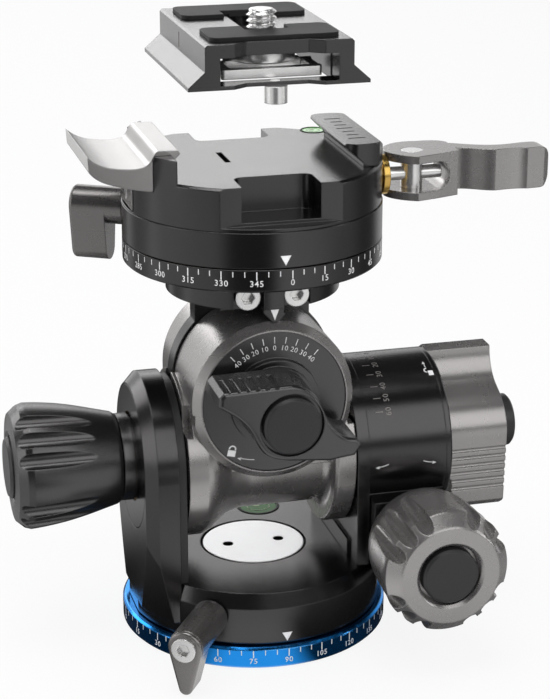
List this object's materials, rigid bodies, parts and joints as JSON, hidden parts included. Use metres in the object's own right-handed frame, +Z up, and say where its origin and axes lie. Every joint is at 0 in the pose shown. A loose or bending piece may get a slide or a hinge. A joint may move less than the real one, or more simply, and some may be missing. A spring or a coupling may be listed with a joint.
{
  "type": "geared tripod head",
  "caption": "Two-axis geared tripod head with worm knobs, clutch levers, panning base, panning dovetail clamp and quick-release plate",
  "frame": {"origin": "centre of the flat underside of the base, on the pan axis, at the mouth of the tripod socket", "axes": "+Z up along the pan axis, -Y towards the roll dial at the front, +X towards the tilt drum"},
  "size_m": [0.1233, 0.0736, 0.1402],
  "materials": {
    "blue_anodised": "satin anodised blue",
    "black_anodised": "satin anodised black",
    "gunmetal": "satin gunmetal grey",
    "dark_grey": "satin dark grey",
    "bright_steel": "turned and polished",
    "silver_disc": "fine turned silver",
    "steel_gear": "ground steel",
    "brass": "turned brass",
    "bronze": "plain bronze",
    "black_plastic": "moulded, fine grain",
    "level_green": "clear green",
    "black_rubber": "matte, ribbed"
  },
  "bodies": {
    "base": {"tripod_base": "blue_anodised", "tripod_bush": "bright_steel", "base_spindle": "steel_gear", "spindle_cap": "silver_disc", "base_screws": "bright_steel", "base_glide": "bronze"},
    "yoke": {"yoke_base": "black_anodised", "floor_level": "level_green", "left_arm": "black_anodised", "left_liner": "black_plastic", "left_cover": "black_anodised", "right_arm": "black_anodised", "drum_cover": "black_anodised", "trunnion_bushes": "bronze", "arm_screws": "bright_steel", "pan_brake": "brass"},
    "pan_lock": {"pan_lock_lever": "gunmetal", "pan_lock_screw": "bright_steel"},
    "tilt_drive": {"tilt_worm": "steel_gear", "tilt_knob": "gunmetal", "tilt_knob_cap": "black_plastic"},
    "tilt_clutch": {"tilt_clutch": "gunmetal", "tilt_clutch_cap": "black_plastic", "tilt_draw_bolt": "steel_gear"},
    "block": {"tilt_block": "gunmetal", "roll_rear_housing": "gunmetal", "rear_screws": "bright_steel", "dial_plate": "dark_grey", "left_trunnion": "dark_grey", "right_trunnion": "steel_gear", "tilt_wheel": "bronze"},
    "roll_drive": {"roll_worm": "steel_gear", "roll_knob": "dark_grey", "roll_knob_cap": "black_plastic"},
    "roll_clutch": {"roll_clutch": "dark_grey", "roll_clutch_cap": "black_plastic", "roll_draw_bolt": "steel_gear"},
    "bracket": {"roll_bracket": "black_anodised", "bracket_screws": "bright_steel", "roll_wheel": "bronze", "roll_shaft": "steel_gear", "top_scale_ring": "black_anodised", "top_spindle": "steel_gear", "top_glide": "bronze"},
    "head": {"pan_drum": "black_anodised", "clamp_body": "black_anodised", "jaw_screws": "bright_steel", "clamp_level": "level_green", "fixed_jaw": "black_anodised", "clamp_washer": "brass"},
    "top_lock": {"top_lock_knob": "gunmetal"},
    "jaw": {"moving_jaw": "dark_grey", "clamp_rod": "bright_steel"},
    "lever": {"clamp_lever": "gunmetal"},
    "plate": {"qr_plate": "black_anodised", "plate_pads": "black_rubber", "plate_stop": "bright_steel"},
    "screw_carriage": {"camera_clip": "bright_steel"},
    "camera_screw": {"camera_screw": "bright_steel"},
    "ring": {"d_ring": "bright_steel"}
  },
  "joints": [
    {"name": "base_pan", "type": "hinge", "parent": "base", "child": "yoke", "pos_m": [0, 0, 0.0104], "axis": [0, 0, 1], "continuous": true},
    {"name": "pan_lock_turn", "type": "hinge", "parent": "yoke", "child": "pan_lock", "pos_m": [-0.01908, -0.02934, 0.0114], "axis": [-0.545, -0.8384, 0], "range_deg": [-80, 60]},
    {"name": "tilt", "type": "hinge", "parent": "yoke", "child": "block", "pos_m": [0, 0, 0.0408], "axis": [1, 0, 0], "range_deg": [-90, 50]},
    {"name": "tilt_knob_turn", "type": "hinge", "parent": "yoke", "child": "tilt_drive", "pos_m": [0.0324, -0.03, 0.0238], "axis": [0, 1, 0], "range_deg": [-1600, 2880]},
    {"name": "tilt_clutch_turn", "type": "hinge", "parent": "yoke", "child": "tilt_clutch", "pos_m": [0.05, 0, 0.0408], "axis": [1, 0, 0], "range_deg": [-20, 35]},
    {"name": "roll", "type": "hinge", "parent": "block", "child": "bracket", "pos_m": [0, 0, 0.0578], "axis": [0, 1, 0], "range_deg": [-40, 40]},
    {"name": "roll_knob_turn", "type": "hinge", "parent": "block", "child": "roll_drive", "pos_m": [-0.04, 0, 0.0408], "axis": [1, 0, 0], "range_deg": [-1280, 1280]},
    {"name": "roll_clutch_turn", "type": "hinge", "parent": "block", "child": "roll_clutch", "pos_m": [0, -0.028, 0.0578], "axis": [0, 1, 0], "range_deg": [-60, 15]},
    {"name": "top_pan", "type": "hinge", "parent": "bracket", "child": "head", "pos_m": [0, 0, 0.0935], "axis": [0, 0, 1], "continuous": true},
    {"name": "top_lock_turn", "type": "hinge", "parent": "head", "child": "top_lock", "pos_m": [-0.02944, 0.017, 0.094], "axis": [-0.866, 0.5, 0], "range_deg": [-60, 60]},
    {"name": "jaw_slide", "type": "slide", "parent": "head", "child": "jaw", "axis": [1, 0, 0], "range_m": [0, 0.002]},
    {"name": "clamp_lever_turn", "type": "hinge", "parent": "jaw", "child": "lever", "pos_m": [0.0361, 0, 0.1012], "axis": [0, 0, 1], "range_deg": [0, 90]},
    {"name": "plate_lift", "type": "slide", "parent": "head", "child": "plate", "axis": [0, 0, 1], "range_m": [-0.0132, 0.012]},
    {"name": "screw_slide", "type": "slide", "parent": "plate", "child": "screw_carriage", "axis": [0, 1, 0], "range_m": [0, 0.016]},
    {"name": "camera_screw_turn", "type": "hinge", "parent": "screw_carriage", "child": "camera_screw", "pos_m": [0.0002, -0.0076, 0.131], "axis": [0, 0, 1], "range_deg": [-9, 9]},
    {"name": "ring_fold", "type": "hinge", "parent": "camera_screw", "child": "ring", "pos_m": [0.0002, -0.0076, 0.1285], "axis": [1, 0, 0], "range_deg": [0, 90]}
  ],
  "couplings": [
    {"joint": "tilt_knob_turn", "follows": "tilt", "ratio": -32},
    {"joint": "roll_knob_turn", "follows": "roll", "ratio": 32},
    {"joint": "clamp_lever_turn", "follows": "jaw_slide", "rad_per_m": 785.4}
  ]
}
